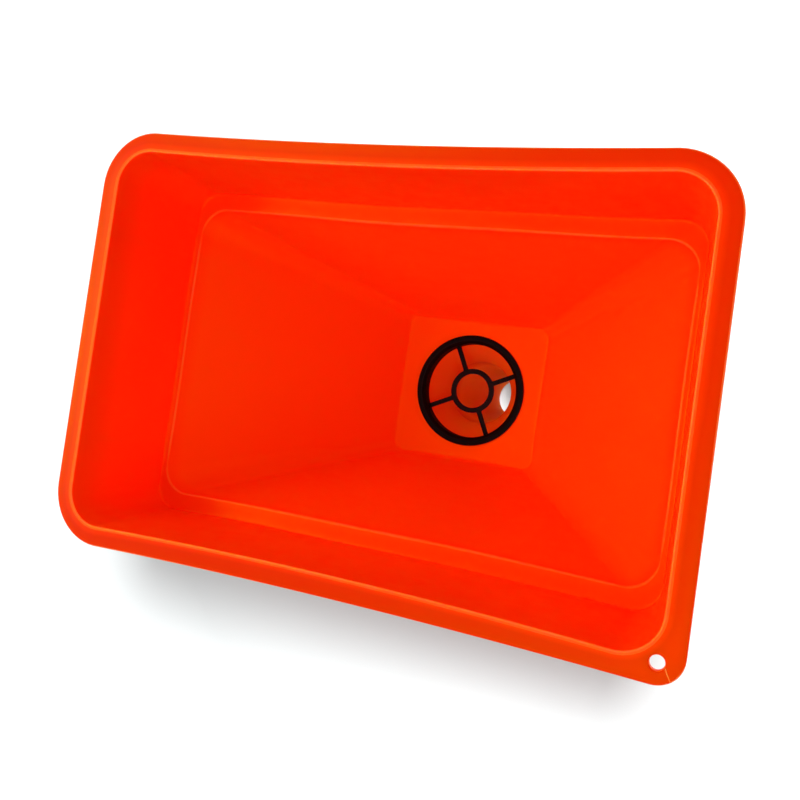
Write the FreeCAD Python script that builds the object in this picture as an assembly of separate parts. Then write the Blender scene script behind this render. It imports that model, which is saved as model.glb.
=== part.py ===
import FreeCAD, Part
import math
import os

# Rectangular oil drain pan of funnel form, with a lift-out strainer.
# Millimetres. The origin is the centre of the spout's open end, +Z up the
# drain axis, +X along the pan's long side. The hang hole is at the +X, -Y corner.

# ---- driving dimensions ----------------------------------------------------
WALL = 3.0                       # moulding thickness
CREST_Z = 550.0                  # top of the rounded lip round the mouth

CREST_LENGTH = 520.2             # mouth, measured over the lip's crest line
CREST_WIDTH = 341.0
CREST_CORNER = 33.0
CREST_BOW = 5.2                  # long sides curve inwards by this at mid length
CREST_HALF = 2.6                 # half the width of the raised lip

FLANGE_REACH = 16.2              # from crest line to outer edge
FLANGE_BOW = 4.2
FLANGE_DROP = 1.6                # flange face below the crest
FLANGE_EDGE_DEPTH = 8.0          # turned-down outer edge, below the flange face
FLANGE_EDGE_ROUND = 1.4
HOLE_CORNER = 21.0               # the corner with the hang hole is squarer

HANG_HOLE_RADIUS = 5.3
HANG_HOLE_X = 257.5
HANG_HOLE_Y = -171.0
HANG_HOLE_ROUND = 0.8
HANG_BOSS_RADIUS = 9.3           # thicker ring under the flange
HANG_BOSS_DEPTH = 2.0
WELD_LINE_WIDTH = 0.8            # fine groove from the hang hole to the corner's edge
WELD_LINE_DEPTH = 0.35
WELD_LINE_LENGTH = 14.0
WELD_LINE_X = 262.4
WELD_LINE_Y = -172.4
WELD_LINE_ANGLE = -62.0

LEDGE_DEPTH = 116.0              # flat step in the wall, below the crest
LEDGE_LENGTH = 498.0             # foot of the upper wall
LEDGE_WIDTH = 324.0
LEDGE_CORNER = 23.0
LEDGE_BOW = 2.5

HOPPER_LENGTH = 486.5            # mouth of the sloping hopper
HOPPER_WIDTH = 289.0
HOPPER_CORNER = 26.5

PAD_DEPTH = 323.0                # flat bottom of the hopper, below the crest
PAD_LENGTH = 164.0
PAD_WIDTH = 158.0
PAD_CORNER = 12.0
PAD_BOW = 0.01                   # the pad's sides are all but straight

SEAT_RADIUS = 56.8               # straight pocket that takes the strainer's skirt
SEAT_DEPTH = 15.0
THROAT_RADIUS = 36.5             # foot of the cone below the seat
THROAT_DEPTH = 369.0             # below the crest
OUTLET_RADIUS = 25.0
OUTLET_OUTER_RADIUS = 27.5       # slides into a 2 inch drum bung
OUTLET_LAND = 40.0               # straight length at the spout's end

LIP_ROUND = 0.9
LEDGE_ROUND = 3.0
PAD_ROUND = 3.0
OUTSIDE_ROUND = 4.0

RIB_OFFSET = 95.0                # upright ribs on the outside of each short wall
RIB_THICKNESS = 1.8
RIB_REACH = 6.0
RIB_FOOT_Z = 408.0

STRAINER_RADIUS = 62.8
STRAINER_FLANGE = 2.6
STRAINER_ROUND = 1.0
STRAINER_LIFT = 0.3              # gap between the flange and the pad
STRAINER_SKIRT_RADIUS = 56.4
STRAINER_INNER_RADIUS = 53.4
STRAINER_SKIRT = 13.0            # from the pad down to the skirt's foot
STRAINER_TURN = 25.9             # degrees from the pan's long side
SPOKE_COUNT = 4
SPOKE_WIDTH = 5.0
SPOKE_HEIGHT = 3.6
HUB_OUTER_RADIUS = 25.3
HUB_INNER_RADIUS = 19.6

LEVEL_TOLERANCE = 0.01           # how far an edge may be off level when it is picked for rounding

# ---- heights above the origin ----------------------------------------------
FLANGE_Z = CREST_Z - FLANGE_DROP
LEDGE_Z = CREST_Z - LEDGE_DEPTH
PAD_Z = CREST_Z - PAD_DEPTH
SEAT_Z = PAD_Z - SEAT_DEPTH
THROAT_Z = CREST_Z - THROAT_DEPTH

UP = FreeCAD.Vector(0, 0, 1)


def outline(length, width, corner, bow, z, hole_corner=None):
    """Closed wire: rounded rectangle whose long sides curve inwards by bow."""
    half_x = length / 2
    half_y = width / 2
    radii = {(1, 1): corner, (-1, 1): corner, (-1, -1): corner, (1, -1): hole_corner or corner}

    def point(x, y):
        return FreeCAD.Vector(x, y, z)

    def corner_points(sign_x, sign_y):
        r = radii[(sign_x, sign_y)]
        centre_x = sign_x * (half_x - r)
        centre_y = sign_y * (half_y - r)
        diagonal = r / math.sqrt(2)
        on_short_side = point(sign_x * half_x, centre_y)
        middle = point(centre_x + sign_x * diagonal, centre_y + sign_y * diagonal)
        on_long_side = point(centre_x, sign_y * half_y)
        return on_short_side, middle, on_long_side

    right_top = corner_points(1, 1)
    left_top = corner_points(-1, 1)
    left_bottom = corner_points(-1, -1)
    right_bottom = corner_points(1, -1)
    edges = [
        Part.LineSegment(right_bottom[0], right_top[0]),
        Part.Arc(*right_top),
        Part.Arc(right_top[2], point(0, half_y - bow), left_top[2]),
        Part.Arc(*reversed(left_top)),
        Part.LineSegment(left_top[0], left_bottom[0]),
        Part.Arc(*left_bottom),
        Part.Arc(left_bottom[2], point(0, bow - half_y), right_bottom[2]),
        Part.Arc(*reversed(right_bottom)),
    ]
    return Part.Wire([edge.toShape() for edge in edges])


def frustum(lower, upper):
    """Solid between two outlines at different heights, with ruled sides."""
    return Part.makeLoft([lower, upper], True, True)


def crest_outline(offset, z):
    """The lip's crest line, moved outwards by offset."""
    return outline(CREST_LENGTH + 2 * offset, CREST_WIDTH + 2 * offset,
                   CREST_CORNER + offset, CREST_BOW, z)


def flange_outline(inset, z):
    """The flange's outer edge, moved inwards by inset."""
    reach = FLANGE_REACH - inset
    return outline(CREST_LENGTH + 2 * reach, CREST_WIDTH + 2 * reach,
                   CREST_CORNER + reach, FLANGE_BOW, z, HOLE_CORNER - inset)


def ledge_outline(offset, z):
    """Foot of the upper wall, moved outwards by offset."""
    return outline(LEDGE_LENGTH + 2 * offset, LEDGE_WIDTH + 2 * offset,
                   LEDGE_CORNER + offset, LEDGE_BOW, z)


def hopper_outline(offset, z):
    """Mouth of the hopper, moved outwards by offset."""
    return outline(HOPPER_LENGTH + 2 * offset, HOPPER_WIDTH + 2 * offset,
                   HOPPER_CORNER + offset, LEDGE_BOW, z)


def pad_outline(offset, z):
    """Foot of the hopper, moved outwards by offset."""
    return outline(PAD_LENGTH + 2 * offset, PAD_WIDTH + 2 * offset,
                   PAD_CORNER + offset, PAD_BOW, z)


def turned(profile):
    """Solid of revolution about the drain axis from (radius, z) points."""
    points = [FreeCAD.Vector(radius, 0, z) for radius, z in profile]
    face = Part.Face(Part.makePolygon(points + [points[0]]))
    return face.revolve(FreeCAD.Vector(0, 0, 0), UP, 360)


def flange():
    """Rim plate with its turned-down edge and the raised lip."""
    foot_z = FLANGE_Z - FLANGE_EDGE_DEPTH
    round_z = FLANGE_Z - FLANGE_EDGE_ROUND
    plate = frustum(flange_outline(0, foot_z), flange_outline(0, round_z))
    plate = plate.fuse(frustum(flange_outline(0, round_z), flange_outline(FLANGE_EDGE_ROUND, FLANGE_Z)))
    pocket = frustum(flange_outline(WALL, foot_z), flange_outline(WALL, FLANGE_Z - WALL))
    lip = frustum(crest_outline(CREST_HALF, FLANGE_Z), crest_outline(CREST_HALF / 2, CREST_Z))
    return plate.cut(pocket).fuse(lip)


def hopper_half_length(z):
    """Half length of the hopper's inside at height z."""
    rise = (z - PAD_Z) / (LEDGE_Z - PAD_Z)
    return (PAD_LENGTH + rise * (HOPPER_LENGTH - PAD_LENGTH)) / 2


def rib(side_x, y):
    """Upright rib under the flange, down the short wall and onto the hopper."""
    inside_wall = WALL / 2
    top_x = CREST_LENGTH / 2 - CREST_HALF + inside_wall
    foot_x = LEDGE_LENGTH / 2 + inside_wall
    hopper_x = hopper_half_length(RIB_FOOT_Z) + inside_wall
    profile = [
        (top_x, FLANGE_Z - inside_wall),
        (top_x + RIB_REACH, FLANGE_Z - inside_wall),
        (foot_x + RIB_REACH / 2, LEDGE_Z),
        (hopper_x + WALL, RIB_FOOT_Z),
        (hopper_x, RIB_FOOT_Z),
        (HOPPER_LENGTH / 2 + inside_wall, LEDGE_Z - inside_wall),
        (foot_x, LEDGE_Z - inside_wall),
    ]
    start_y = y - RIB_THICKNESS / 2
    points = [FreeCAD.Vector(side_x * x, start_y, z) for x, z in profile]
    face = Part.Face(Part.makePolygon(points + [points[0]]))
    return face.extrude(FreeCAD.Vector(0, RIB_THICKNESS, 0))


def level_edges(shape, z, half_x_range):
    """Edges that lie level at height z and reach out to a half length in the range."""
    found = []
    for edge in shape.Edges:
        box = edge.BoundBox
        level = max(abs(box.ZMin - z), abs(box.ZMax - z)) < LEVEL_TOLERANCE
        reach = max(abs(box.XMin), abs(box.XMax))
        if level and half_x_range[0] < reach < half_x_range[1]:
            found.append(edge)
    return found


def rounded(shape, z, radius, half_x_range):
    return shape.makeFillet(radius, level_edges(shape, z, half_x_range))


def hang_hole(body):
    """Hole with a thicker ring at the flange's corner, and the fine line beside it."""
    boss_z = FLANGE_Z - WALL - HANG_BOSS_DEPTH
    boss = Part.makeCylinder(HANG_BOSS_RADIUS, HANG_BOSS_DEPTH + WALL / 2,
                             FreeCAD.Vector(HANG_HOLE_X, HANG_HOLE_Y, boss_z), UP)
    hole = Part.makeCylinder(HANG_HOLE_RADIUS, CREST_Z - boss_z,
                             FreeCAD.Vector(HANG_HOLE_X, HANG_HOLE_Y, boss_z), UP)
    flare = Part.makeCone(HANG_HOLE_RADIUS, HANG_HOLE_RADIUS + HANG_HOLE_ROUND, HANG_HOLE_ROUND,
                          FreeCAD.Vector(HANG_HOLE_X, HANG_HOLE_Y, FLANGE_Z - HANG_HOLE_ROUND), UP)
    line = Part.makeBox(WELD_LINE_LENGTH, WELD_LINE_WIDTH, WALL,
                        FreeCAD.Vector(0, -WELD_LINE_WIDTH / 2, -WELD_LINE_DEPTH))
    line.rotate(FreeCAD.Vector(0, 0, 0), UP, WELD_LINE_ANGLE)
    line.translate(FreeCAD.Vector(WELD_LINE_X, WELD_LINE_Y, FLANGE_Z))
    return body.fuse(boss).cut([hole, flare, line])


def pan():
    """The whole orange moulding: flange, upper wall, ledge, hopper, pad and spout."""
    wall_top_offset = -CREST_HALF
    mouth = frustum(ledge_outline(0, LEDGE_Z), crest_outline(wall_top_offset, FLANGE_Z))
    mouth_edge = frustum(crest_outline(wall_top_offset, FLANGE_Z), crest_outline(-CREST_HALF / 2, CREST_Z))
    hopper = frustum(pad_outline(0, PAD_Z), hopper_outline(0, LEDGE_Z))
    drain = turned([(0, PAD_Z), (SEAT_RADIUS, PAD_Z), (SEAT_RADIUS, SEAT_Z), (THROAT_RADIUS, THROAT_Z),
                    (OUTLET_RADIUS, OUTLET_LAND), (OUTLET_RADIUS, 0), (0, 0)])

    wall = frustum(ledge_outline(WALL, LEDGE_Z - WALL), crest_outline(wall_top_offset + WALL, FLANGE_Z))
    funnel = frustum(pad_outline(WALL, PAD_Z - WALL), hopper_outline(WALL, LEDGE_Z - WALL))
    spout = turned([(0, PAD_Z), (SEAT_RADIUS + WALL, PAD_Z), (SEAT_RADIUS + WALL, SEAT_Z),
                    (THROAT_RADIUS + WALL, THROAT_Z - WALL), (OUTLET_OUTER_RADIUS, OUTLET_LAND),
                    (OUTLET_OUTER_RADIUS, 0), (0, 0)])
    body = wall.fuse([flange(), funnel, spout])
    body = rounded(body, LEDGE_Z - WALL, OUTSIDE_ROUND, (0, LEDGE_LENGTH))
    body = rounded(body, PAD_Z - WALL, OUTSIDE_ROUND, (STRAINER_RADIUS, PAD_LENGTH))
    body = rounded(body, THROAT_Z - WALL, OUTSIDE_ROUND, (0, PAD_LENGTH))
    ribs = [rib(side, y) for side in (-1, 1) for y in (-RIB_OFFSET, RIB_OFFSET)]
    body = body.fuse(ribs).cut([mouth, mouth_edge, hopper, drain])

    ledge_reach = (HOPPER_LENGTH / 2 - HOPPER_CORNER - WALL, LEDGE_LENGTH / 2 + WALL)
    body = rounded(body, LEDGE_Z, LEDGE_ROUND, ledge_reach)
    body = rounded(body, PAD_Z, PAD_ROUND, (STRAINER_RADIUS, PAD_LENGTH))
    body = rounded(body, CREST_Z, LIP_ROUND, (0, CREST_LENGTH))
    return hang_hole(body).removeSplitter()


def strainer():
    """Black insert: flange, skirt, and a hub ring on spokes at the skirt's foot."""
    under_z = PAD_Z + STRAINER_LIFT
    top_z = under_z + STRAINER_FLANGE
    foot_z = PAD_Z - STRAINER_SKIRT
    edge = STRAINER_RADIUS - STRAINER_ROUND
    body = turned([(STRAINER_INNER_RADIUS, foot_z), (STRAINER_SKIRT_RADIUS, foot_z),
                   (STRAINER_SKIRT_RADIUS, under_z), (STRAINER_RADIUS, under_z),
                   (STRAINER_RADIUS, top_z - STRAINER_ROUND), (edge, top_z),
                   (STRAINER_SKIRT_RADIUS, top_z), (STRAINER_INNER_RADIUS, under_z)])
    hub_top = foot_z + SPOKE_HEIGHT
    hub = turned([(HUB_INNER_RADIUS, foot_z), (HUB_OUTER_RADIUS, foot_z),
                  (HUB_OUTER_RADIUS, hub_top), (HUB_INNER_RADIUS, hub_top)])
    start = (HUB_INNER_RADIUS + HUB_OUTER_RADIUS) / 2
    length = (STRAINER_INNER_RADIUS + STRAINER_SKIRT_RADIUS) / 2 - start
    spokes = []
    for number in range(SPOKE_COUNT):
        spoke = Part.makeBox(length, SPOKE_WIDTH, SPOKE_HEIGHT,
                             FreeCAD.Vector(start, -SPOKE_WIDTH / 2, foot_z))
        spoke.rotate(FreeCAD.Vector(0, 0, 0), UP, STRAINER_TURN + number * 360 / SPOKE_COUNT)
        spokes.append(spoke)
    return body.fuse([hub] + spokes).removeSplitter()


os.makedirs("parts", exist_ok=True)
for name, make in {"pan": pan, "strainer": strainer}.items():
    solid = make()
    print(name, "valid", solid.isValid(), "solids", len(solid.Solids), "volume", round(solid.Volume))
    solid.exportStep("parts/" + name + ".step")
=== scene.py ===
import math

import bmesh
import bpy
import numpy as np
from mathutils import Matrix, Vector


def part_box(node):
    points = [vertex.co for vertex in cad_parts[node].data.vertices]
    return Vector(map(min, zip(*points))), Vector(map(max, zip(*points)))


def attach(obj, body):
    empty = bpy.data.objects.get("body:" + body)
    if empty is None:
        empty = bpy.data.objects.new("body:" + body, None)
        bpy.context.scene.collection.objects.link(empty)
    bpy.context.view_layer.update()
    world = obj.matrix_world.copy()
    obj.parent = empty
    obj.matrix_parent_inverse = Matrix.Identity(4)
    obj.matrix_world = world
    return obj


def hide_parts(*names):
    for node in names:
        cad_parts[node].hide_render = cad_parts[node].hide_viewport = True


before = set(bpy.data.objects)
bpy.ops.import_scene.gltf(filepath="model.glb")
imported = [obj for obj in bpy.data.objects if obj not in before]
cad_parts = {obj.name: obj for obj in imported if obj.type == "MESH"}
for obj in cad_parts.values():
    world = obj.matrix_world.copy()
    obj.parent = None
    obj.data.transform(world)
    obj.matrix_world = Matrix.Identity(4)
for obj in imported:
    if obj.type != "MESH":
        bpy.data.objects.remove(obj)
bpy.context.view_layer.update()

# Oil drain pan: an orange moulded funnel tray with a black lift-out strainer.
# Metres, in the frame's axes: origin at the spout's open end, +Z up the drain
# axis, +X along the pan's long side, the hang hole at the +X, -Y corner.

PAN_LOW, PAN_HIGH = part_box("pan")
STRAINER_LOW, STRAINER_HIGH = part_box("strainer")

# ---- sizes of the pan, from the frame where it gives them ------------------
CREST_Z = PAN_HIGH.z
FLANGE_LENGTH = PAN_HIGH.x - PAN_LOW.x
FLANGE_WIDTH = PAN_HIGH.y - PAN_LOW.y
FLANGE_REACH = 0.0162
CREST_LENGTH = FLANGE_LENGTH - 2 * FLANGE_REACH
CREST_WIDTH = FLANGE_WIDTH - 2 * FLANGE_REACH
WALL = 0.003

CREST_CORNER = 0.033
CREST_BOW = 0.0052               # the long sides curve inwards by this
WALL_TOP_INSET = 0.0026          # inside face of the wall, in from the crest line
BEAD_INNER = 0.0016              # the raised bead round the mouth
BEAD_OUTER = 0.0010
BEAD_FOOT = 0.0095               # where the bead's outer slope ends, out from the crest line
FLANGE_BOW = 0.0042
FLANGE_DROP = 0.0016             # flat of the flange, below the bead's top
FLANGE_EDGE_DEPTH = 0.0080
FLANGE_EDGE_ROUND = 0.0014
FLANGE_SAG = 0.0005              # the flange leans down towards its edge
HOLE_CORNER = 0.021              # the flange's corner at the hang hole is tighter

FLANGE_Z = CREST_Z - FLANGE_DROP
HANG_HOLE = Vector((0.2575, -0.1710, FLANGE_Z))
HANG_HOLE_RADIUS = 0.0053
HANG_BOSS_RADIUS = 0.0093
HANG_BOSS_DEPTH = 0.0020
HANG_BOSS_CHAMFER = 0.0006
HANG_HOLE_ROUND = 0.0013
WELD_LINE_START = Vector((0.2624, -0.1724))
WELD_LINE_WIDTH = 0.0015
WELD_LINE_ANGLE = math.radians(-62)
WELD_LINE_ALONG = Vector((math.cos(WELD_LINE_ANGLE), math.sin(WELD_LINE_ANGLE)))
WELD_LINE_LENGTH = 0.014

LEDGE_Z = CREST_Z - 0.116
LEDGE_LENGTH, LEDGE_WIDTH, LEDGE_CORNER, LEDGE_BOW = 0.498, 0.324, 0.023, 0.0025
HOPPER_LENGTH, HOPPER_WIDTH, HOPPER_CORNER = 0.4865, 0.289, 0.0265
PAD_Z = CREST_Z - 0.323
PAD_LENGTH, PAD_WIDTH, PAD_CORNER = 0.164, 0.158, 0.012
SEAT_RADIUS, SEAT_Z = 0.0568, PAD_Z - 0.015
THROAT_RADIUS, THROAT_Z = 0.0365, CREST_Z - 0.369
OUTLET_RADIUS, OUTLET_OUTER_RADIUS, OUTLET_LAND = 0.025, 0.0275, 0.040

RIB_Y = 0.095                    # upright ribs outside each short wall
RIB_HALF = 0.0009
RIB_REACH = 0.006
RIB_FOOT_Z = 0.408
SINK_DEPTH, SINK_HALF = 0.00030, 0.0030
WAVE = 0.00035                   # height of the moulding's waviness
CALM_X, CALM_Y, CALM_RADIUS = 0.2585, 0.172, 0.066   # none outside these, or nearer the drain

# ---- sizes of the strainer ---------------------------------------------------
STRAINER_RADIUS = (STRAINER_HIGH.x - STRAINER_LOW.x) / 2
STRAINER_TOP, STRAINER_FOOT = STRAINER_HIGH.z, STRAINER_LOW.z
STRAINER_UNDER = PAD_Z + 0.0003
SKIRT_OUTER, SKIRT_INNER = 0.0564, 0.0534
HUB_OUTER, HUB_INNER = 0.0253, 0.0196
SPOKE_WIDTH, SPOKE_HEIGHT = 0.0050, 0.0036
WINDOW_CORNER = 0.0016
STRAINER_TURN = math.radians(25.9)

FLOOR_Z = -0.013                 # the spout hangs clear of the floor, held by its end
FLOOR_HALF = 6.0

# ---- how finely the meshes are made --------------------------------------------
CORNER_STEPS = 14
LONG_STEPS = 60
SHORT_STEP, RIB_STEP = 0.0079, 0.0018   # between points along a short side, and beside a rib
RIB_STEPS = 3
RING_STEP = 0.0065               # furthest that two rings of points are apart
ARC_STEPS = 6
MOST_ROUNDING = 0.48             # of the shorter stretch beside a rounded corner
LEAST_HIGHLIGHT = 0.05                # flatter faces than this get no painted highlight


# ---- mesh helpers ------------------------------------------------------------
def new_object(name, mesh):
    obj = bpy.data.objects.new(name, mesh)
    bpy.context.scene.collection.objects.link(obj)
    return obj


def mesh_from(name, points, faces):
    mesh = bpy.data.meshes.new(name)
    mesh.from_pydata([tuple(p) for p in points], [], faces)
    bm = bmesh.new()
    bm.from_mesh(mesh)
    bmesh.ops.recalc_face_normals(bm, faces=bm.faces)
    bm.to_mesh(mesh)
    bm.free()
    return mesh


def loop_mesh(name, rings):
    """Closed skin over a closed loop of closed rings."""
    count, around = rings.shape[:2]
    faces = []
    for i in range(count):
        j = (i + 1) % count
        for k in range(around):
            m = (k + 1) % around
            faces.append((i * around + k, i * around + m, j * around + m, j * around + k))
    return mesh_from(name, rings.reshape(-1, 3), faces)


def lathe(name, profile, centre=(0, 0, 0), steps=128):
    """Solid of revolution about a vertical axis; a profile end at radius 0 closes it."""
    angles = np.arange(steps) * 2 * math.pi / steps
    points, faces, rows = [], [], []
    for radius, z in profile:
        if radius == 0:
            rows.append([len(points)])
            points.append((centre[0], centre[1], centre[2] + z))
            continue
        rows.append(list(range(len(points), len(points) + steps)))
        points += [(centre[0] + radius * math.cos(a), centre[1] + radius * math.sin(a), centre[2] + z)
                   for a in angles]
    closed = len(rows[0]) > 1
    pairs = list(zip(rows, rows[1:] + rows[:1])) if closed else list(zip(rows, rows[1:]))
    for low, high in pairs:
        for k in range(steps):
            m = (k + 1) % steps
            if len(low) == 1:
                faces.append((low[0], high[m], high[k]))
            elif len(high) == 1:
                faces.append((low[k], low[m], high[0]))
            else:
                faces.append((low[k], low[m], high[m], high[k]))
    return new_object(name, mesh_from(name, points, faces))


def combine(target, other, operation):
    """Applies a boolean of the other object to the target and removes the other."""
    modifier = target.modifiers.new(operation.lower(), "BOOLEAN")
    modifier.operation = operation
    modifier.solver = "MANIFOLD"
    modifier.object = other
    graph = bpy.context.evaluated_depsgraph_get()
    mesh = bpy.data.meshes.new_from_object(target.evaluated_get(graph))
    target.modifiers.clear()
    old = target.data
    target.data = mesh
    bpy.data.meshes.remove(old)
    bpy.data.objects.remove(other)


def smooth(obj, degrees):
    obj.data.shade_smooth()
    obj.data.set_sharp_from_angle(angle=math.radians(degrees))


def read_all(items, name, width=1, kind=float):
    """One value, or one row of values, for each item of a mesh."""
    values = np.empty(len(items) * width, kind)
    items.foreach_get(name, values)
    return values.reshape(-1, width) if width > 1 else values


def edge_bend(obj, gain):
    """How convex each face corner is, from 0 to 1, on faces that are part of a rounded edge."""
    mesh = obj.data
    points = read_all(mesh.vertices, "co", 3)
    normals = read_all(mesh.vertices, "normal", 3)
    ends = read_all(mesh.edges, "vertices", 2, int)
    bend = np.zeros(len(points))
    share = np.zeros(len(points))
    along = points[ends[:, 1]] - points[ends[:, 0]]
    length = np.maximum(np.linalg.norm(along, axis=1), 1e-7)
    turn = np.einsum("ij,ij->i", normals[ends[:, 1]] - normals[ends[:, 0]], along) / length ** 2
    for column in (0, 1):
        np.add.at(bend, ends[:, column], turn)
        np.add.at(share, ends[:, column], 1)
    bend /= np.maximum(share, 1)
    painted_highlight = np.clip(bend * gain, 0, 1)[read_all(mesh.loops, "vertex_index", kind=int)]
    starts = read_all(mesh.polygons, "loop_start", kind=int)
    totals = read_all(mesh.polygons, "loop_total", kind=int)
    least = np.repeat(np.minimum.reduceat(painted_highlight, starts), totals)
    return np.where(least > LEAST_HIGHLIGHT, painted_highlight, 0)


def store_painted_highlight(obj, painted_highlight):
    attribute = obj.data.attributes.new("painted_edge_highlight", "FLOAT", "CORNER")
    attribute.data.foreach_set("value", painted_highlight.astype(np.float32))


# ---- outline of the pan --------------------------------------------------------
SHORT_STRAIGHT = 0.139           # half the straight length of a short side at the wall
RIB_ROOM = 0.008                 # points this near a rib keep their places beside it


def short_side_places():
    """Places along a short side, closer together at the ribs."""
    near_rib = list(RIB_Y + np.arange(-RIB_STEPS, RIB_STEPS + 1) * RIB_STEP)
    clear_of_rib = (RIB_STEPS + 2) * RIB_STEP
    spread = [y for y in np.arange(SHORT_STEP, SHORT_STRAIGHT, SHORT_STEP) if abs(y - RIB_Y) > clear_of_rib]
    half = sorted(near_rib + spread)
    return np.array([-y for y in reversed(half)] + [0.0] + half)


SHORT_PLACES = short_side_places()


def short_side(straight):
    """The same places on a side of another straight half length, ribs staying put if they can."""
    y = SHORT_PLACES
    if straight < RIB_Y + 1.5 * RIB_ROOM:
        return y * straight / SHORT_STRAIGHT
    fixed = RIB_Y + RIB_ROOM
    scale = (straight - fixed) / (SHORT_STRAIGHT - fixed)
    beyond = np.abs(y) > fixed
    return np.where(beyond, np.sign(y) * (fixed + (np.abs(y) - fixed) * scale), y)


def eased(t, ease=0.05):
    """Runs from 0 to 1 evenly, but starts and stops gently."""
    near = np.minimum(t, 1 - t)
    soft = np.where(near < ease, near ** 2 / (2 * ease), near - ease / 2)
    soft = soft / (1 - ease)
    return np.where(t < 0.5, soft, 1 - soft)


def outline(length, width, corner, bow, z, hole_corner=None):
    """Ring of points round a rectangle with round corners and inward-curved long sides."""
    half_x, half_y = length / 2, width / 2
    hole_corner = hole_corner or corner
    radii = {(1, 1): corner, (-1, 1): corner, (-1, -1): corner, (1, -1): hole_corner}
    quarter = np.arange(CORNER_STEPS + 1) / CORNER_STEPS * math.pi / 2
    along = eased(np.arange(1, LONG_STEPS) / LONG_STEPS)
    curve = 4 * along * (1 - along) * bow
    parts = []

    def arc(sign_x, sign_y, start):
        r = radii[(sign_x, sign_y)]
        angle = start + quarter
        parts.append(np.column_stack([sign_x * (half_x - r) + r * np.cos(angle),
                                      sign_y * (half_y - r) + r * np.sin(angle)]))

    def long_side(sign_y, from_x, to_x):
        parts.append(np.column_stack([from_x + (to_x - from_x) * along, sign_y * (half_y - curve)]))

    right = short_side(half_y - corner)
    shift = (corner - hole_corner) * np.clip(-right / (half_y - corner), 0, 1)
    parts.append(np.column_stack([np.full(len(right), half_x), right - shift]))
    arc(1, 1, 0)
    long_side(1, half_x - corner, corner - half_x)
    arc(-1, 1, math.pi / 2)
    left = -short_side(half_y - corner)
    parts.append(np.column_stack([np.full(len(left), -half_x), left]))
    arc(-1, -1, math.pi)
    long_side(-1, corner - half_x, half_x - hole_corner)
    arc(1, -1, 1.5 * math.pi)
    flat = np.vstack(parts)
    return np.column_stack([flat, np.full(len(flat), z)])


def grown(length, width, corner, bow, offset, z):
    return outline(length + 2 * offset, width + 2 * offset, corner + offset, bow, z)


def crest(offset, z):
    return grown(CREST_LENGTH, CREST_WIDTH, CREST_CORNER, CREST_BOW, offset, z)


def flange_edge(inset, z):
    return outline(FLANGE_LENGTH - 2 * inset, FLANGE_WIDTH - 2 * inset,
                   CREST_CORNER + FLANGE_REACH - inset, FLANGE_BOW, z, HOLE_CORNER - inset)


def ledge(offset, z):
    return grown(LEDGE_LENGTH, LEDGE_WIDTH, LEDGE_CORNER, LEDGE_BOW, offset, z)


def hopper(offset, z):
    """The hopper's outline at a height between the pad and the ledge."""
    rise = (z - PAD_Z) / (LEDGE_Z - PAD_Z)
    return grown(PAD_LENGTH + rise * (HOPPER_LENGTH - PAD_LENGTH),
                 PAD_WIDTH + rise * (HOPPER_WIDTH - PAD_WIDTH),
                 PAD_CORNER + rise * (HOPPER_CORNER - PAD_CORNER), rise * LEDGE_BOW, offset, z)


def circle(radius, z):
    """Ring about the drain axis whose points lie in line with the pad's."""
    pad = hopper(0, PAD_Z)
    angle = np.arctan2(pad[:, 1], pad[:, 0])
    return np.column_stack([radius * np.cos(angle), radius * np.sin(angle), np.full(len(angle), z)])


# ---- profile of the pan --------------------------------------------------------
def rounded_loop(controls):
    """Rounds a closed loop of rings at each control by its radius, then fills in rings."""
    rings = [ring for ring, radius in controls]
    path = []
    for i, (corner, radius) in enumerate(controls):
        if radius == 0:
            path.append(corner)
            continue
        before = rings[i - 1] - corner
        after = rings[(i + 1) % len(rings)] - corner
        room_before = np.linalg.norm(before, axis=1)[:, None]
        room_after = np.linalg.norm(after, axis=1)[:, None]
        before = before / room_before
        after = after / room_after
        half_angle = np.arccos(np.clip((before * after).sum(1), -1, 1))[:, None] / 2
        room = MOST_ROUNDING * np.minimum(room_before, room_after)
        reach = np.minimum(radius / np.tan(half_angle), room)
        weight = np.sin(half_angle)
        start, end = corner + before * reach, corner + after * reach
        for s in np.linspace(0, 1, ARC_STEPS + 1):
            a, b, c = (1 - s) ** 2, 2 * s * (1 - s) * weight, s ** 2
            path.append((a * start + b * corner + c * end) / (a + b + c))
    filled = []
    for ring, following in zip(path, path[1:] + path[:1]):
        gap = np.linalg.norm(following - ring, axis=1).max()
        pieces = max(1, math.ceil(gap / RING_STEP))
        filled += [ring + (following - ring) * (n / pieces) for n in range(pieces)]
    return np.array(filled)


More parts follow.
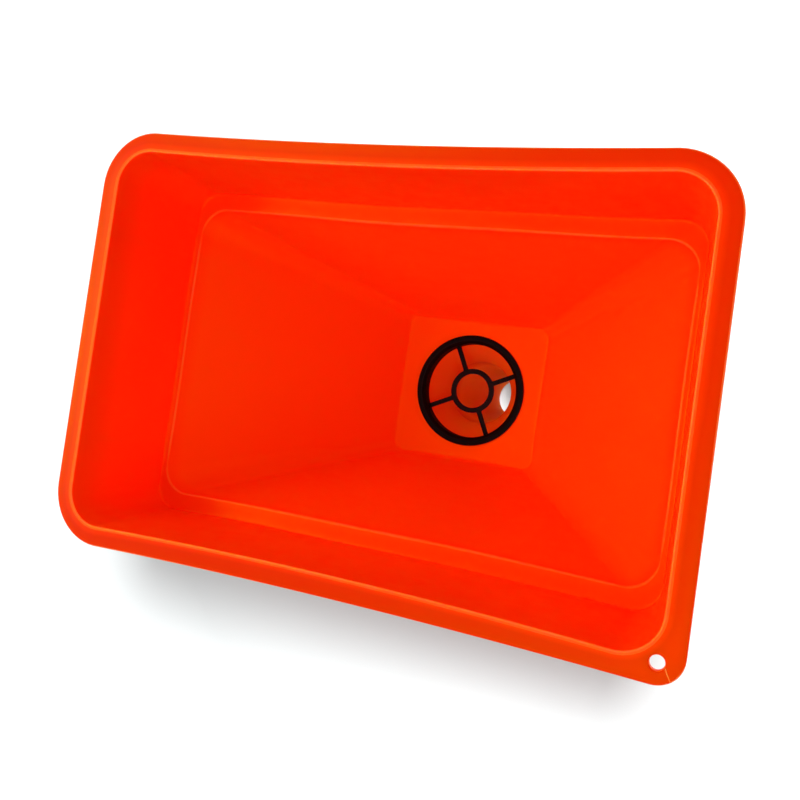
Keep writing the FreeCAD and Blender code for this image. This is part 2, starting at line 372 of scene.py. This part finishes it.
def pan_rings():
    """The pan's rings, up its inside and down its outside; each control has its rounding."""
    under_z = FLANGE_Z - WALL
    edge_z = FLANGE_Z - FLANGE_EDGE_DEPTH
    out = WALL * 1.1                 # the hopper leans, so its outside stands further out than the wall
    inside = [
        (circle(OUTLET_RADIUS, 0), 0.0008),
        (circle(OUTLET_RADIUS, OUTLET_LAND), 0.030),
        (circle(THROAT_RADIUS, THROAT_Z), 0.003),
        (circle(SEAT_RADIUS, SEAT_Z), 0.001),
        (circle(SEAT_RADIUS, PAD_Z), 0.001),
        (hopper(0, PAD_Z), 0.0060),
        (hopper(0, LEDGE_Z), 0.0028),
        (ledge(0, LEDGE_Z), 0.0032),
        (crest(-BEAD_INNER, CREST_Z), 0.0016),
        (crest(BEAD_OUTER, CREST_Z), 0.0016),
        (crest(BEAD_FOOT, FLANGE_Z), 0.0400),
    ]
    outside = [
        (flange_edge(0, FLANGE_Z - FLANGE_SAG), FLANGE_EDGE_ROUND),
        (flange_edge(0, edge_z), 0.0007),
        (flange_edge(WALL * 0.8, edge_z), 0.0007),
        (flange_edge(WALL, under_z - FLANGE_SAG), 0.0015),
        (crest(WALL - WALL_TOP_INSET, under_z), 0.0020),
        (ledge(WALL, LEDGE_Z - WALL), 0.0045),
        (hopper(out, LEDGE_Z - WALL), 0.0030),
        (hopper(out, RIB_FOOT_Z), 0),
        (hopper(out, PAD_Z - WALL), 0.0045),
        (circle(SEAT_RADIUS + WALL, PAD_Z - WALL), 0.0030),
        (circle(SEAT_RADIUS + WALL, SEAT_Z), 0.0040),
        (circle(THROAT_RADIUS + WALL, THROAT_Z - WALL), 0.0080),
        (circle(OUTLET_OUTER_RADIUS, OUTLET_LAND), 0.0100),
        (circle(OUTLET_OUTER_RADIUS, 0), 0.0008),
    ]
    return rounded_loop(inside + outside)


def shape_walls(rings):
    """Sink marks inside the short walls, over the ribs, and a slight waviness of the moulding."""
    x, y, z = rings[..., 0], rings[..., 1], rings[..., 2]
    wall_top_x = CREST_LENGTH / 2 - WALL_TOP_INSET
    wall_x = np.interp(z, [LEDGE_Z, FLANGE_Z], [LEDGE_LENGTH / 2, wall_top_x])
    on_wall = (np.abs(np.abs(x) - wall_x) < WALL / 2) & (z > LEDGE_Z + 0.002) & (z < CREST_Z - 0.004)
    fade = np.interp(z, [LEDGE_Z, CREST_Z], [1.0, 0.25])
    sink = SINK_DEPTH * np.exp(-((np.abs(y) - RIB_Y) / SINK_HALF) ** 2) * fade
    x = np.where(on_wall, x + np.sign(x) * sink, x)

    def growing(distance, full):
        return np.clip(distance / full, 0, 1)

    inside = growing(CALM_X - np.abs(x), 0.02) * growing(CALM_Y - np.abs(y), 0.015)
    wave = WAVE * inside * growing(np.hypot(x, y) - CALM_RADIUS, 0.03) * growing(CREST_Z - 0.006 - z, 0.02)

    def ripple(first, first_length, second, second_length, phase):
        return wave * np.sin(2 * math.pi * (first / first_length + second / second_length) + phase)

    x = x + ripple(y, 0.19, z, 0.31, 1.0)
    moved_y = y + ripple(x, 0.23, z, 0.27, 2.1)
    moved_z = z + ripple(x, 0.21, y, 0.17, 0.6)
    return np.stack([x, moved_y, moved_z], axis=-1)


def add_rib(pan, side_x, centre_y):
    """Upright rib under the flange, down the outside of a short wall and onto the hopper."""
    inside_wall = WALL / 2
    under_z = FLANGE_Z - inside_wall
    top_x = CREST_LENGTH / 2 - WALL_TOP_INSET + inside_wall
    foot_x = LEDGE_LENGTH / 2 + inside_wall
    rise = (RIB_FOOT_Z - PAD_Z) / (LEDGE_Z - PAD_Z)
    hopper_x = (PAD_LENGTH + rise * (HOPPER_LENGTH - PAD_LENGTH)) / 2 + inside_wall
    profile = [(top_x, under_z), (top_x + RIB_REACH, under_z), (foot_x + RIB_REACH / 2, LEDGE_Z),
               (hopper_x + WALL, RIB_FOOT_Z), (hopper_x, RIB_FOOT_Z),
               (HOPPER_LENGTH / 2 + inside_wall, LEDGE_Z - inside_wall), (foot_x, LEDGE_Z - inside_wall)]
    count = len(profile)
    points = [(side_x * x, centre_y + y, z) for y in (-RIB_HALF, RIB_HALF) for x, z in profile]
    faces = [tuple(range(count)), tuple(range(2 * count - 1, count - 1, -1))]
    faces += [(k, (k + 1) % count, count + (k + 1) % count, count + k) for k in range(count)]
    combine(pan, new_object("rib", mesh_from("rib", points, faces)), "UNION")


def profile_points(controls):
    """Rounded closed profile of (radius, z) points from (radius, z, rounding) controls."""
    rings = [(np.array([[radius, 0.0, z]]), rounding) for radius, z, rounding in controls]
    return [(ring[0, 0], ring[0, 2]) for ring in rounded_loop(rings)]


def make_pan():
    """One moulding: the skin, the boss, ribs and hang hole, and the weld line beside the hole."""
    pan = new_object("pan_moulding", loop_mesh("pan_moulding", shape_walls(pan_rings())))

    boss_low = -WALL - HANG_BOSS_DEPTH
    boss = [(0, boss_low), (HANG_BOSS_RADIUS - HANG_BOSS_CHAMFER, boss_low),
            (HANG_BOSS_RADIUS, boss_low + HANG_BOSS_CHAMFER), (HANG_BOSS_RADIUS, -WALL / 2), (0, -WALL / 2)]
    combine(pan, lathe("boss", boss, HANG_HOLE, 64), "UNION")
    for side_x in (-1, 1):
        for side_y in (-1, 1):
            add_rib(pan, side_x, side_y * RIB_Y)
    flare_z = -0.0018
    flare = [(HANG_HOLE_RADIUS + HANG_HOLE_ROUND * (1 - math.cos(a)), flare_z + HANG_HOLE_ROUND * math.sin(a))
             for a in np.linspace(0, math.pi / 2, 6)]
    hole_low, hole_high = boss_low - 0.002, 0.003
    wide_radius = HANG_HOLE_RADIUS + 0.0016
    hole = [(0, hole_low), (HANG_HOLE_RADIUS, hole_low)] + flare + [(wide_radius, hole_high), (0, hole_high)]
    combine(pan, lathe("hole", hole, HANG_HOLE, 64), "DIFFERENCE")
    combine(pan, weld_line_cutter(), "DIFFERENCE")
    smooth(pan, 32)
    # painted highlight: rounded convex edges are painted paler, more where they bend more
    painted_highlight = edge_bend(pan, 0.0012)
    mark_weld_line(pan, painted_highlight)
    store_painted_highlight(pan, painted_highlight)
    mark_share(pan, "flange_shade", flange_shade_share)
    mark_share(pan, "drain", drain_share)
    return pan


def weld_line_place(point):
    """Distance along the weld line and aside from it."""
    offset = point.xy - WELD_LINE_START
    return offset.dot(WELD_LINE_ALONG), abs(offset.cross(WELD_LINE_ALONG))


def weld_line_cutter():
    """Slim wedge that cuts the fine V groove beside the hang hole."""
    across = Vector((-WELD_LINE_ALONG.y, WELD_LINE_ALONG.x)) * WELD_LINE_WIDTH
    bottom, top = HANG_HOLE.z - WELD_LINE_WIDTH / 2, HANG_HOLE.z + WELD_LINE_WIDTH / 2
    points, faces = [], [(0, 1, 2), (5, 4, 3), (0, 3, 4, 1), (1, 4, 5, 2), (2, 5, 3, 0)]
    for distance in (0, WELD_LINE_LENGTH):
        spot = WELD_LINE_START + WELD_LINE_ALONG * distance
        points.append((spot.x, spot.y, bottom))
        points.append((spot.x + across.x, spot.y + across.y, top))
        points.append((spot.x - across.x, spot.y - across.y, top))
    return new_object("weld_line", mesh_from("weld_line", points, faces))


def mark_weld_line(pan, painted_highlight):
    """Gives the groove's own faces the full painted highlight, so that the line reads pale, and none to the
    flat beside it.
    """
    for face in pan.data.polygons:
        distance, aside = weld_line_place(face.center)
        beside = aside <= 4 * WELD_LINE_WIDTH and -2 * WELD_LINE_WIDTH < distance < WELD_LINE_LENGTH
        if not beside or face.center.z < FLANGE_Z - WALL:
            continue
        if face.normal.z > 0.97:
            painted_highlight[list(face.loop_indices)] = 0.0
        elif aside < WELD_LINE_WIDTH and abs(face.normal.xy.dot(WELD_LINE_ALONG)) < 0.05:
            painted_highlight[list(face.loop_indices)] = 1.0


RIM_DEPTH, RIM_FADE = 0.014, 0.002       # below the crest, and out from its line
DRAIN_START, DRAIN_FADE = 0.002, 0.008   # below the pad


def outside_crest(x, y):
    """How far a point lies outside the lip's crest line, seen from above."""
    half_x, half_y = CREST_LENGTH / 2, CREST_WIDTH / 2
    straight = half_x - CREST_CORNER
    half_y -= CREST_BOW * max(0.0, 1 - (x / straight) ** 2)
    aside_x = abs(x) - straight
    aside_y = abs(y) - (half_y - CREST_CORNER)
    round_part = math.hypot(max(aside_x, 0.0), max(aside_y, 0.0))
    return round_part + min(max(aside_x, aside_y), 0.0) - CREST_CORNER


def flange_shade_share(x, y, z):
    """1 on the flange, whose colour is painted deeper than the walls' as painted shade, because less light
    glows through it.
    """
    return outside_crest(x, y) / RIM_FADE if z > CREST_Z - RIM_DEPTH else 0.0


def drain_share(x, y, z):
    """1 on the inside of the seat, cone and spout, which is rougher, and whose colour is painted shade in the
    cone and a paler painted glow down the spout.
    """
    inner = np.interp(z, [OUTLET_LAND, THROAT_Z, SEAT_Z], [OUTLET_RADIUS, THROAT_RADIUS, SEAT_RADIUS])
    inside = math.hypot(x, y) < inner + WALL / 2
    return (PAD_Z - DRAIN_START - z) / DRAIN_FADE if inside else 0.0


def mark_share(pan, name, share):
    """Stores how far each point belongs to a region, from 0 to 1."""
    values = np.array([share(*vertex.co) for vertex in pan.data.vertices])
    layer = pan.data.attributes.new(name, "FLOAT", "POINT")
    layer.data.foreach_set("value", np.clip(values, 0, 1).astype(np.float32))


# ---- strainer -------------------------------------------------------------------
def on_circle(radius, angle):
    return Vector((radius * math.cos(angle), radius * math.sin(angle)))


def strainer_window(start, end):
    """Plan of one opening between two spokes, with rounded corners."""
    outer_lean = math.asin(SPOKE_WIDTH / 2 / SKIRT_INNER)
    inner_lean = math.asin(SPOKE_WIDTH / 2 / HUB_OUTER)
    sides = [(SKIRT_INNER, start + outer_lean, end - outer_lean),
             (HUB_OUTER, end - inner_lean, start + inner_lean)]
    path = []
    for radius, first, last in sides:
        trim = math.copysign(WINDOW_CORNER / radius, last - first)
        arc = [on_circle(radius, angle) for angle in np.linspace(first + trim, last - trim, 18)]
        path.append((on_circle(radius, first), arc, on_circle(radius, last)))
    points = []
    for (_, arc, last), (next_first, next_arc, _) in zip(path, path[1:] + path[:1]):
        points += arc
        corner = (next_first - last).normalized() * WINDOW_CORNER
        points += bend(arc[-1], last, last + corner)
        points += bend(next_first - corner, next_first, next_arc[0])
    return points


def bend(start, corner, end, steps=5):
    """Points of a smooth corner, without its last point."""
    return [start * (1 - t) ** 2 + corner * 2 * t * (1 - t) + end * t ** 2
            for t in (n / steps for n in range(steps))]


def flat_plate(name, outlines, low, high, edge):
    """Plate of the given plan outlines, later ones being holes, with rounded edges."""
    curve = bpy.data.curves.new(name, "CURVE")
    curve.dimensions = "2D"
    curve.fill_mode = "BOTH"
    for outline_points in outlines:
        spline = curve.splines.new("POLY")
        spline.points.add(len(outline_points) - 1)
        for target, point in zip(spline.points, outline_points):
            target.co = (point.x, point.y, 0, 1)
        spline.use_cyclic_u = True
    curve.extrude = (high - low) / 2 - edge
    curve.bevel_depth = edge
    curve.bevel_resolution = 2
    curve.offset = -edge
    holder = new_object(name + "_curve", curve)
    holder.location.z = (high + low) / 2
    bpy.context.view_layer.update()
    graph = bpy.context.evaluated_depsgraph_get()
    mesh = bpy.data.meshes.new_from_object(holder.evaluated_get(graph))
    mesh.transform(holder.matrix_world)
    bpy.data.objects.remove(holder)
    bm = bmesh.new()
    bm.from_mesh(mesh)
    bmesh.ops.remove_doubles(bm, verts=bm.verts, dist=1e-6)
    bmesh.ops.recalc_face_normals(bm, faces=bm.faces)
    bm.to_mesh(mesh)
    bm.free()
    return new_object(name, mesh)


def ring_of(radius, steps=128):
    return [on_circle(radius, angle) for angle in np.arange(steps) * 2 * math.pi / steps]


def make_strainer():
    controls = [                     # radius, height and rounding of the flange and skirt
        (SKIRT_INNER, STRAINER_FOOT, 0.0005), (SKIRT_OUTER, STRAINER_FOOT, 0.0005),
        (SKIRT_OUTER, STRAINER_UNDER, 0.0003), (STRAINER_RADIUS, STRAINER_UNDER, 0.0004),
        (STRAINER_RADIUS, STRAINER_TOP - 0.0006, 0.0010), (STRAINER_RADIUS - 0.0030, STRAINER_TOP, 0.0030),
        (SKIRT_OUTER + 0.0006, STRAINER_TOP, 0.0016), (SKIRT_INNER, STRAINER_UNDER - 0.0010, 0.0016),
    ]
    strainer = lathe("strainer_insert", profile_points(controls), steps=160)
    spokes = [STRAINER_TURN + k * math.pi / 2 for k in range(5)]
    windows = [strainer_window(a, b) for a, b in zip(spokes, spokes[1:])]
    outlines = [ring_of((SKIRT_INNER + SKIRT_OUTER) / 2)] + windows + [ring_of(HUB_INNER, 72)]
    spider = flat_plate("spider", outlines, STRAINER_FOOT + 0.0001, STRAINER_FOOT + SPOKE_HEIGHT, 0.0005)
    combine(strainer, spider, "UNION")
    smooth(strainer, 40)
    # painted highlight: the strainer's rounded convex edges are painted paler
    store_painted_highlight(strainer, edge_bend(strainer, 0.0004))
    return strainer


# ---- materials --------------------------------------------------------------------
class Nodes:
    """Small helper round one material's node tree."""

    def __init__(self, name, settings):
        self.material = bpy.data.materials.new(name)
        self.material.use_nodes = True
        self.tree = self.material.node_tree
        self.shader = self.tree.nodes["Principled BSDF"]
        for key, value in settings.items():
            self.shader.inputs[key].default_value = value

    def add(self, kind, inputs=None, **settings):
        node = self.tree.nodes.new(kind)
        for key, value in settings.items():
            setattr(node, key, value)
        for key, value in (inputs or {}).items():
            if isinstance(value, bpy.types.NodeSocket):
                self.tree.links.new(value, node.inputs[key])
            else:
                node.inputs[key].default_value = value
        return node

    def place(self, stretch=(1, 1, 1)):
        coordinates = self.add("ShaderNodeTexCoord").outputs["Object"]
        return self.add("ShaderNodeMapping", {"Vector": coordinates, "Scale": stretch}).outputs[0]

    def noise(self, scale, detail=3.0, roughness=0.55, stretch=(1, 1, 1)):
        inputs = {"Vector": self.place(stretch), "Scale": scale, "Detail": detail, "Roughness": roughness}
        return self.add("ShaderNodeTexNoise", inputs).outputs["Fac"]

    def spread(self, value, from_low, from_high, to_low, to_high):
        return self.add("ShaderNodeMapRange", {"Value": value, "From Min": from_low, "From Max": from_high,
                                               "To Min": to_low, "To Max": to_high}).outputs["Result"]

    def blend(self, factor, first, second):
        """Mixes two colours; sockets 6, 7 and 2 are the mix node's colour ones."""
        return self.add("ShaderNodeMix", {0: factor, 6: first, 7: second}, data_type="RGBA").outputs[2]

    def times(self, first, second):
        return self.add("ShaderNodeMath", {0: first, 1: second}, operation="MULTIPLY").outputs[0]

    def plus(self, first, second):
        return self.add("ShaderNodeMath", {0: first, 1: second}, operation="ADD").outputs[0]

    def height_ramp(self, none_z, full_z):
        """Runs from 0 at one height to 1 at the other."""
        place = self.add("ShaderNodeSeparateXYZ", {"Vector": self.place()})
        return self.spread(place.outputs["Z"], none_z, full_z, 0, 1)

    def attribute(self, name):
        return self.add("ShaderNodeAttribute", attribute_name=name).outputs["Fac"]

    def connect(self, colour, roughness, height, depth):
        self.tree.links.new(colour, self.shader.inputs["Base Color"])
        self.tree.links.new(roughness, self.shader.inputs["Roughness"])
        bump = self.add("ShaderNodeBump", {"Height": height, "Strength": 1.0, "Distance": depth})
        self.tree.links.new(bump.outputs["Normal"], self.shader.inputs["Normal"])
        return self.material


# Colours are linear, with alpha.
ORANGE_DEEP, ORANGE_PALE = (0.97, 0.033, 0.0009, 1), (0.99, 0.043, 0.0013, 1)
ORANGE_FLANGE_SHADE = (0.555, 0.010, 0.0003, 1)
CONE_PAINTED_SHADE, SPOUT_PAINTED_GLOW = (0.69, 0.095, 0.0090, 1), (0.99, 0.29, 0.0340, 1)
ORANGE_PAINTED_HIGHLIGHT = (0.99, 0.31, 0.080, 1)
BLACK_DEEP, BLACK_PALE = (0.0022, 0.0006, 0.0007, 1), (0.0050, 0.0014, 0.0016, 1)
BLACK_PAINTED_HIGHLIGHT = (0.075, 0.040, 0.044, 1)
FLOOR_DEEP, FLOOR_PALE = (0.638, 0.682, 0.684, 1), (0.658, 0.702, 0.704, 1)
SPOUT_FADE = 0.030               # the cone's painted shade turns into the spout's paler painted glow over this depth
PAINTED_LIGHT_BY_HEIGHT = [                # painted light and shade by height, deeper on the ledge, paler down the hopper and on the pad: from, to, colour
    (LEDGE_Z + 0.005, LEDGE_Z + 0.001, (0.98, 0.028, 0.0010, 1)),
    (LEDGE_Z - 0.002, LEDGE_Z - 0.012, (0.98, 0.047, 0.0013, 1)),
    (PAD_Z + 0.003, PAD_Z + 0.001, (0.98, 0.035, 0.0012, 1)),
]


def orange_plastic():
    """Glossy and translucent: red light passes through the wall; rounded edges get a paler painted highlight,
    and painted light and shade are set by height and region.
    """
    n = Nodes("orange_polyethylene", {
        "IOR": 1.32,
        "Specular Tint": (1.0, 0.95, 0.0, 1),
        "Specular IOR Level": 0.50,
        "Subsurface Weight": 1.0,
        "Subsurface Radius": (1.0, 0.07, 0.01),
        "Subsurface Scale": 0.018,
    })
    mottle = n.noise(7.0, 3.0, 0.5)
    flow = n.noise(3.0, 2.0, 0.5, stretch=(1, 1, 6))
    colour = n.blend(n.spread(mottle, 0.3, 0.7, 0, 1), ORANGE_DEEP, ORANGE_PALE)
    # painted light and shade: the colour is deepened or lightened by height
    for none_z, full_z, shade in PAINTED_LIGHT_BY_HEIGHT:
        colour = n.blend(n.height_ramp(none_z, full_z), colour, shade)
    in_drain = n.attribute("drain")
    # painted shade in the cone, turning into a paler painted glow down the spout
    below_throat = n.height_ramp(THROAT_Z - 0.002, THROAT_Z - SPOUT_FADE)
    colour = n.blend(in_drain, colour, n.blend(below_throat, CONE_PAINTED_SHADE, SPOUT_PAINTED_GLOW))
    # painted shade: the flange is painted deeper than the walls
    colour = n.blend(n.attribute("flange_shade"), colour, ORANGE_FLANGE_SHADE)
    # painted highlight: paler orange on rounded edges and in the weld groove
    colour = n.blend(n.times(n.attribute("painted_edge_highlight"), 0.9), colour, ORANGE_PAINTED_HIGHLIGHT)
    scuffs = n.noise(55.0, 4.0, 0.6, stretch=(1, 4, 1))
    roughness = n.plus(n.spread(scuffs, 0.35, 0.75, 0.34, 0.42), n.spread(flow, 0.3, 0.7, 0.0, 0.05))
    roughness = n.plus(roughness, n.times(in_drain, 0.40))
    height = n.plus(n.times(n.noise(1100.0, 2.0, 0.5), 0.25), n.noise(120.0, 2.0, 0.4))
    return n.connect(colour, roughness, height, 0.00002)


def black_plastic():
    n = Nodes("black_polypropylene", {"IOR": 1.49, "Specular IOR Level": 0.06})
    mottle = n.noise(220.0, 4.0, 0.6)
    colour = n.blend(n.spread(mottle, 0.35, 0.7, 0, 1), BLACK_DEEP, BLACK_PALE)
    # painted highlight: paler lines on the strainer's rounded edges
    colour = n.blend(n.times(n.attribute("painted_edge_highlight"), 0.7), colour, BLACK_PAINTED_HIGHLIGHT)
    roughness = n.spread(n.noise(500.0, 3.0, 0.6), 0.3, 0.7, 0.42, 0.60)
    height = n.plus(n.noise(1500.0, 2.0, 0.6), n.times(mottle, 0.8))
    return n.connect(colour, roughness, height, 0.00003)


def floor_surface():
    """Pale card that glows away from the object, so that it turns plain white there."""
    n = Nodes("pale_floor", {"Emission Color": (1, 1, 1, 1)})
    colour = n.blend(n.spread(n.noise(2.0, 2.0), 0.3, 0.7, 0, 1), FLOOR_DEEP, FLOOR_PALE)
    distance = n.add("ShaderNodeVectorMath", {0: n.place()}, operation="LENGTH").outputs["Value"]
    n.tree.links.new(n.spread(distance, 0.6, 1.2, 0, 0.6), n.shader.inputs["Emission Strength"])
    return n.connect(colour, n.spread(n.noise(30.0), 0.3, 0.7, 0.75, 0.9), n.noise(400.0), 0.0001)


# ---- the studio -------------------------------------------------------------------
WARM = (1.0, 0.90, 0.10)


def make_camera():
    """Looks into the pan from close above, as the photograph does."""
    data = bpy.data.cameras.new("camera")
    data.lens = 39.37
    data.sensor_width = 36.0
    data.shift_x = -0.0002
    data.shift_y = -0.0399
    camera = bpy.data.objects.new("camera", data)
    camera.rotation_euler = (0.08179, 0.37195, 0.15207)
    camera.location = (0.29281, -0.01187, CREST_Z + 0.63198)
    bpy.context.scene.collection.objects.link(camera)
    bpy.context.scene.camera = camera


def area_light(name, place, aim, size, power, colour=(1, 1, 1), lit=None):
    """Round soft light; with lit it shines only on that object, though all objects shade it."""
    data = bpy.data.lights.new(name, "AREA")
    data.shape = "DISK"
    data.size = size
    data.energy = power
    data.color = colour
    light = bpy.data.objects.new(name, data)
    light.location = place
    light.rotation_euler = (Vector(aim) - Vector(place)).to_track_quat("-Z", "Y").to_euler()
    bpy.context.scene.collection.objects.link(light)
    if lit:
        receivers = bpy.data.collections.new(name + "_lights")
        receivers.objects.link(lit)
        light.light_linking.receiver_collection = receivers


def make_studio(pan):
    mesh = bpy.data.meshes.new("floor")
    corners = [(x * FLOOR_HALF, y * FLOOR_HALF, FLOOR_Z) for x, y in ((-1, -1), (1, -1), (1, 1), (-1, 1))]
    mesh.from_pydata(corners, [], [(0, 1, 2, 3)])
    floor = new_object("floor", mesh)
    floor.data.materials.append(floor_surface())

    world = bpy.data.worlds.new("studio")
    world.use_nodes = True
    background = world.node_tree.nodes["Background"]
    background.inputs["Color"].default_value = (1, 1, 1, 1)
    background.inputs["Strength"].default_value = 0.575
    bpy.context.scene.world = world
    area_light("overhead", (0.3, -0.8, 2.3), (0.05, 0, 0), 1.6, 13.5)
    area_light("key", (-1.3, 0.0, 1.8), (0, 0, 0.4), 0.6, 13, WARM, pan)
    area_light("side", (-0.9, 0.8, 2.0), (0, 0, 0.4), 0.7, 6, WARM, pan)
    area_light("fill", (-1.8, 0.2, 0.95), (0, 0, 0.4), 1.0, 4, WARM, pan)
    area_light("floor_light", (0.345, 0.20, 1.51), (0.345, 0.20, 0), 0.26, 43, lit=floor)
    bpy.context.scene.view_settings.view_transform = "Standard"


# ---- the model --------------------------------------------------------------------
make_camera()
pan = make_pan()
pan.data.materials.clear()
pan.data.materials.append(orange_plastic())
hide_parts("pan")
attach(pan, "pan")

strainer = make_strainer()
strainer.data.materials.clear()
strainer.data.materials.append(black_plastic())
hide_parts("strainer")
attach(strainer, "strainer")

make_studio(pan)
